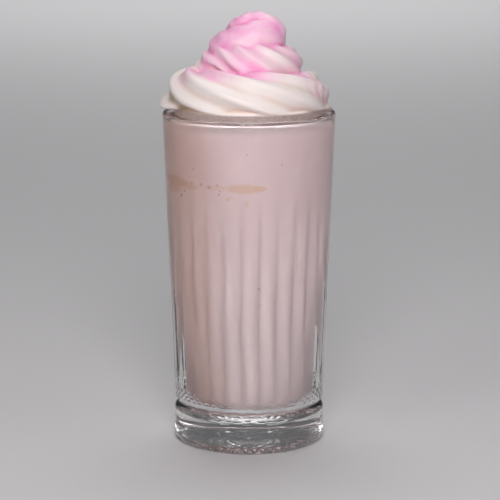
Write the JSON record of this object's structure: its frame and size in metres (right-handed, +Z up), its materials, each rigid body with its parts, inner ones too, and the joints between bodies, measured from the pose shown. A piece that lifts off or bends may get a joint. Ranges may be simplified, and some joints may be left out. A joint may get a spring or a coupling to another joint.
{
  "type": "vanilla milkshake in a tall glass",
  "caption": "Tall ribbed highball glass filled to the rim with a pale milkshake, topped by a piped swirl of whipped cream with a pink tint.",
  "frame": {"origin": "middle of the glass's foot, on the surface that it stands on", "axes": "+Z up along the glass's axis, -Y towards the viewer of the reference picture"},
  "size_m": [0.0802, 0.079, 0.199],
  "materials": {
    "clear_glass": "clear, polished, moulded ribs",
    "milkshake": "opaque creamy drink, wet and smooth",
    "whipped_cream": "soft whipped cream, tinted pink near the top"
  },
  "bodies": {
    "root": {"glass": "clear_glass", "milkshake": "milkshake", "whipped_cream": "whipped_cream"}
  },
  "joints": []
}
